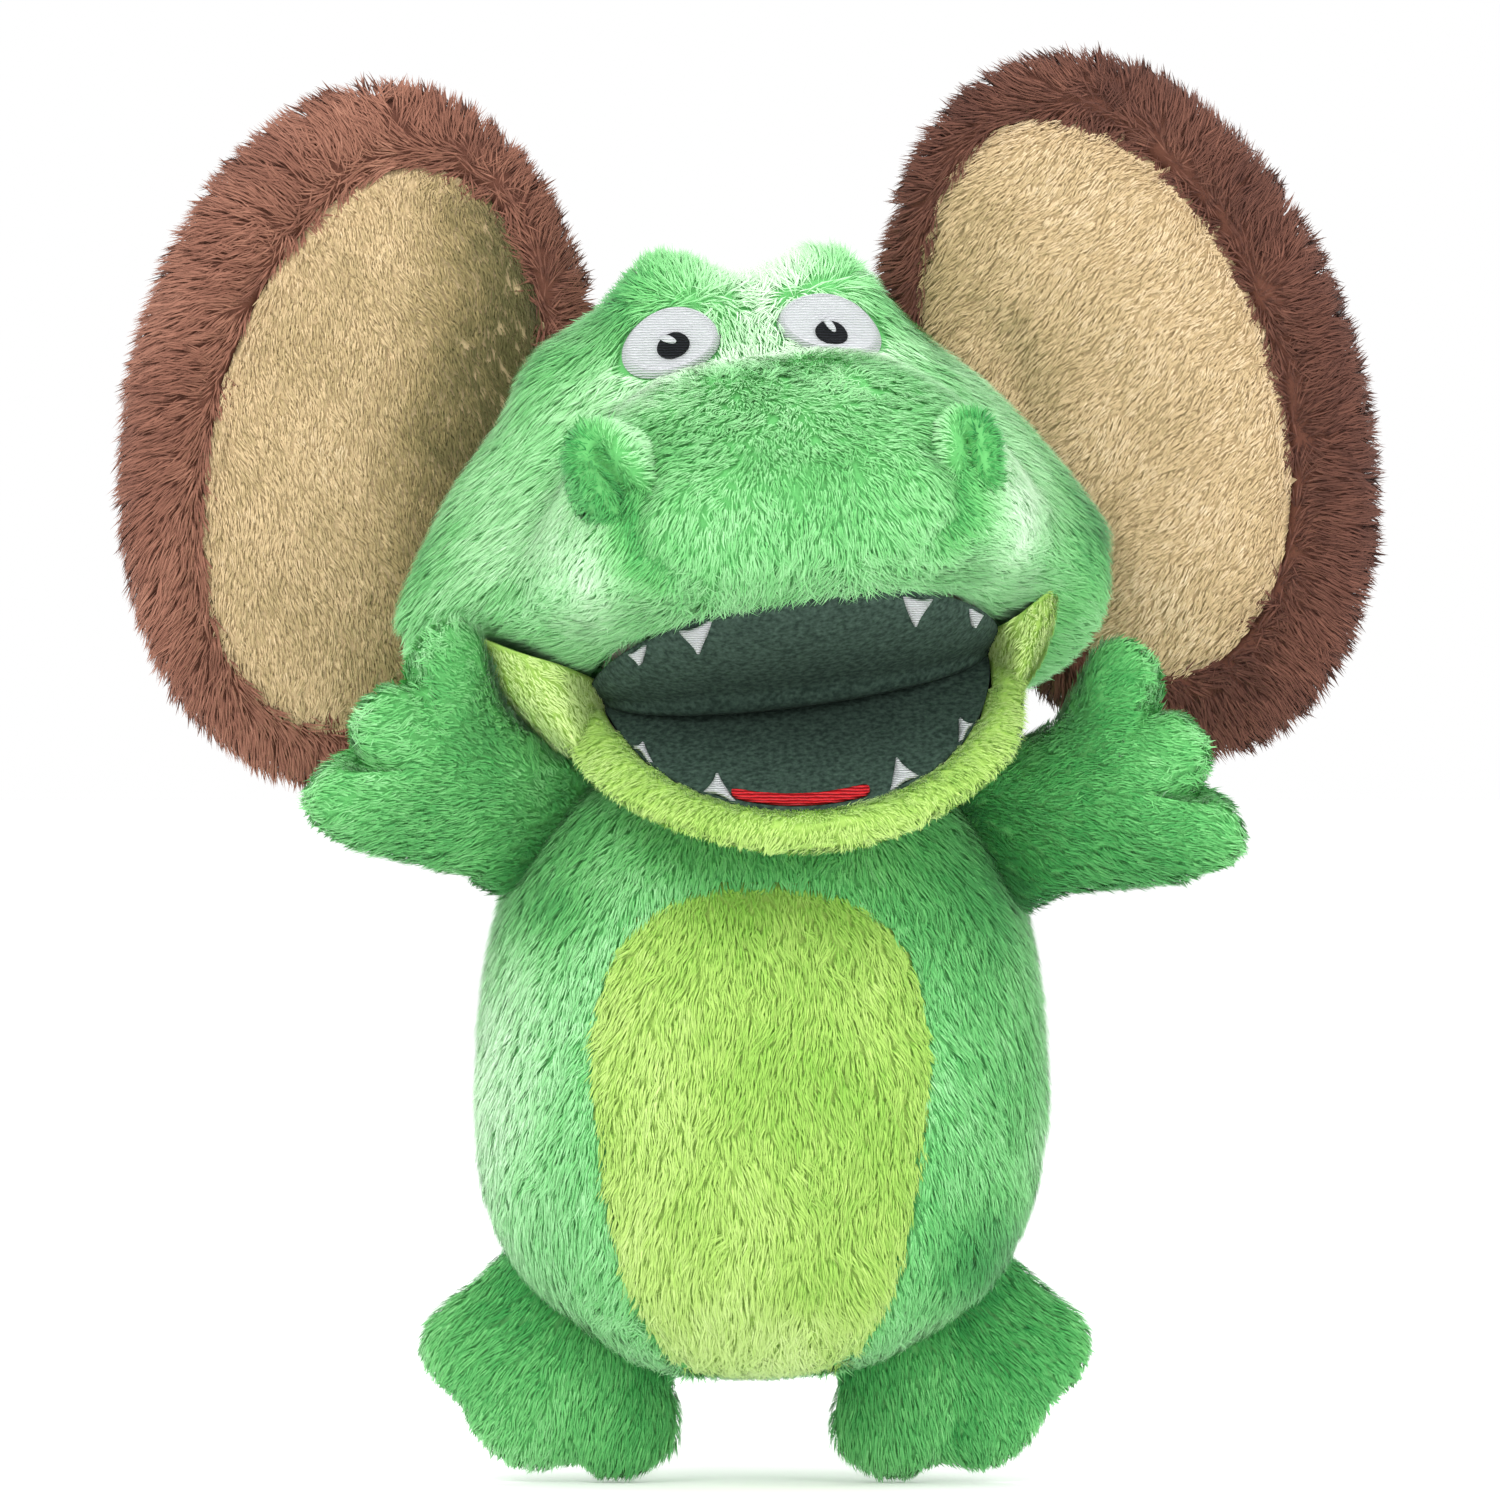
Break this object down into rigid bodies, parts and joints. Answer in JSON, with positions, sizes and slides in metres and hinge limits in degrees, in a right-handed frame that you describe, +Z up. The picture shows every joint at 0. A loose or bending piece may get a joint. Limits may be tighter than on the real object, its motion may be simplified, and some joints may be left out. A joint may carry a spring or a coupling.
{
  "type": "hand puppet",
  "caption": "Plush animal hand puppet with a mouth that opens, round ears, arms and feet; a hand goes in at the back.",
  "frame": {"origin": "centre of the hand opening, at the cuff's outer face in the back", "axes": "+Z up to the head, +Y out of the back through the hand opening, the face looks along -Y, +X to the puppet's left hand as held"},
  "size_m": [0.2958, 0.1612, 0.3327],
  "materials": {
    "green_plush": "fluffy pile, mottled light and dark green",
    "lime_plush": "fluffy pile, lime with paler streaks",
    "brown_plush": "fluffy pile",
    "tan_plush": "short fluffy pile",
    "lining": "smooth woven",
    "filling": "loose fibre",
    "board": "matte sheet",
    "mouth_felt": "speckled felt",
    "white_thread": "satin stitch",
    "silver_thread": "satin stitch",
    "black_thread": "satin stitch",
    "red_thread": "satin stitch"
  },
  "bodies": {
    "torso": {"torso_back_panel": "green_plush", "torso_front_panel": "green_plush", "belly_panel": "lime_plush", "belly_stuffing": "filling", "hand_sleeve": "lining", "opening_cuff": "green_plush"},
    "head": {"neck_panel": "green_plush", "head_back_panel": "green_plush", "face_panel": "green_plush", "snout_panel": "green_plush", "head_stuffing": "filling", "cheek_stuffing_left": "filling", "cheek_stuffing_right": "filling", "finger_pocket": "lining", "upper_mouth_board": "board", "upper_palate": "mouth_felt", "eye_white_left": "white_thread", "eye_white_right": "white_thread", "pupil_left": "black_thread", "pupil_right": "black_thread", "nostril_left": "green_plush", "nostril_right": "green_plush", "upper_tooth_1": "silver_thread", "upper_tooth_2": "silver_thread", "upper_tooth_3": "silver_thread", "upper_tooth_4": "silver_thread"},
    "lower_jaw": {"lower_jaw_panel": "lime_plush", "lower_mouth_board": "board", "lower_palate": "mouth_felt", "thumb_pocket": "lining", "tongue": "red_thread", "lower_tooth_1": "silver_thread", "lower_tooth_2": "silver_thread", "lower_tooth_3": "silver_thread", "lower_tooth_4": "silver_thread"},
    "ear_left": {"ear_back_left": "brown_plush", "ear_inner_left": "tan_plush", "ear_stuffing_left": "filling"},
    "arm_left": {"arm_front_left": "green_plush", "arm_back_left": "green_plush", "arm_stuffing_left": "filling"},
    "foot_left": {"foot_front_left": "green_plush", "foot_back_left": "green_plush", "foot_stuffing_left": "filling"},
    "ear_right": {"ear_back_right": "brown_plush", "ear_inner_right": "tan_plush", "ear_stuffing_right": "filling"},
    "arm_right": {"arm_front_right": "green_plush", "arm_back_right": "green_plush", "arm_stuffing_right": "filling"},
    "foot_right": {"foot_front_right": "green_plush", "foot_back_right": "green_plush", "foot_stuffing_right": "filling"}
  },
  "joints": [
    {"name": "neck_nod", "type": "hinge", "parent": "torso", "child": "head", "pos_m": [0.003, -0.048, 0.073], "axis": [1, 0, 0], "range_deg": [-14, 3], "stiffness_Nm_per_rad": 2},
    {"name": "jaw_hinge", "type": "hinge", "parent": "head", "child": "lower_jaw", "pos_m": [0.0075, -0.076, 0.099], "axis": [0.989, 0.0692, 0.1305], "range_deg": [-39, 4], "stiffness_Nm_per_rad": 0.4},
    {"name": "ear_left_flap", "type": "hinge", "parent": "head", "child": "ear_left", "pos_m": [-0.0585, -0.034, 0.1555], "axis": [0.3159, 0, 0.9488], "range_deg": [-8, 18], "stiffness_Nm_per_rad": 0.3},
    {"name": "ear_right_flap", "type": "hinge", "parent": "head", "child": "ear_right", "pos_m": [0.062, -0.034, 0.1565], "axis": [-0.4432, 0, 0.8964], "range_deg": [-18, 8], "stiffness_Nm_per_rad": 0.3},
    {"name": "arm_left_swing", "type": "hinge", "parent": "torso", "child": "arm_left", "pos_m": [-0.0505, -0.067, 0.062], "axis": [0.5736, 0, 0.8192], "range_deg": [-5, 18], "stiffness_Nm_per_rad": 0.1},
    {"name": "arm_right_swing", "type": "hinge", "parent": "torso", "child": "arm_right", "pos_m": [0.0545, -0.067, 0.0605], "axis": [-0.4384, 0, 0.8988], "range_deg": [-16, 8], "stiffness_Nm_per_rad": 0.1},
    {"name": "foot_left_flap", "type": "hinge", "parent": "torso", "child": "foot_left", "pos_m": [-0.041, -0.053, -0.051], "axis": [0.8089, 0, -0.5879], "range_deg": [-16, 16], "stiffness_Nm_per_rad": 0.1},
    {"name": "foot_right_flap", "type": "hinge", "parent": "torso", "child": "foot_right", "pos_m": [0.0385, -0.053, -0.051], "axis": [-0.8089, 0, -0.5879], "range_deg": [-16, 16], "stiffness_Nm_per_rad": 0.1}
  ]
}
